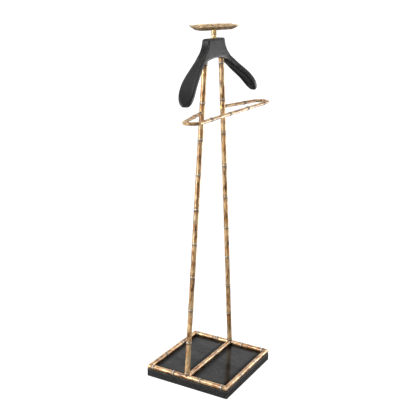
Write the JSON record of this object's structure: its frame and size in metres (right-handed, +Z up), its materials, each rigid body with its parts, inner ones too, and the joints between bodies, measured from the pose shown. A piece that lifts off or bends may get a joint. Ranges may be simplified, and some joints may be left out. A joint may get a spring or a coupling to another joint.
{
  "type": "valet stand",
  "caption": "Free-standing valet stand: framed square base, two leaning bamboo-pattern posts, looped trouser rail, broad-shouldered coat hanger and a small flared dish that turns on top.",
  "frame": {"origin": "on the floor, under the middle of the base slab", "axes": "+X from the left post to the right post, -Y to the front where the trouser rail stands out, +Z up"},
  "size_m": [0.4771, 0.291, 1.0983],
  "materials": {
    "black_wood": "ebonised, satin",
    "black_gloss": "black lacquer, high gloss",
    "gilt_cane": "antique gilt, mottled brown",
    "gilt_dish": "antique gilt, worn",
    "steel": "zinc plated",
    "brass": "turned",
    "brass_screw": "dull",
    "fibre": "vulcanised fibre",
    "felt": "felt"
  },
  "bodies": {
    "stand": {"bar_back": "gilt_cane", "bar_centre": "gilt_cane", "bar_front": "gilt_cane", "bar_left": "gilt_cane", "bar_right": "gilt_cane", "bar_screws": "steel", "base_slab": "black_wood", "base_studs": "steel", "dish_screw": "brass_screw", "dish_washer": "fibre", "felt_pads": "felt", "hanger": "black_wood", "hanger_studs": "steel", "neck": "gilt_cane", "neck_stud": "steel", "panel_back": "black_gloss", "panel_front": "black_gloss", "post_left": "gilt_cane", "post_plugs": "brass", "post_right": "gilt_cane", "rail_screws": "brass_screw", "trouser_rail": "gilt_cane"},
    "dish": {"dish": "gilt_dish"}
  },
  "joints": [
    {"name": "dish_swivel", "type": "hinge", "parent": "stand", "child": "dish", "pos_m": [-0.0018, -0.00205, 1.08049], "axis": [-0.0628, 0.0009, 0.998], "continuous": true}
  ]
}
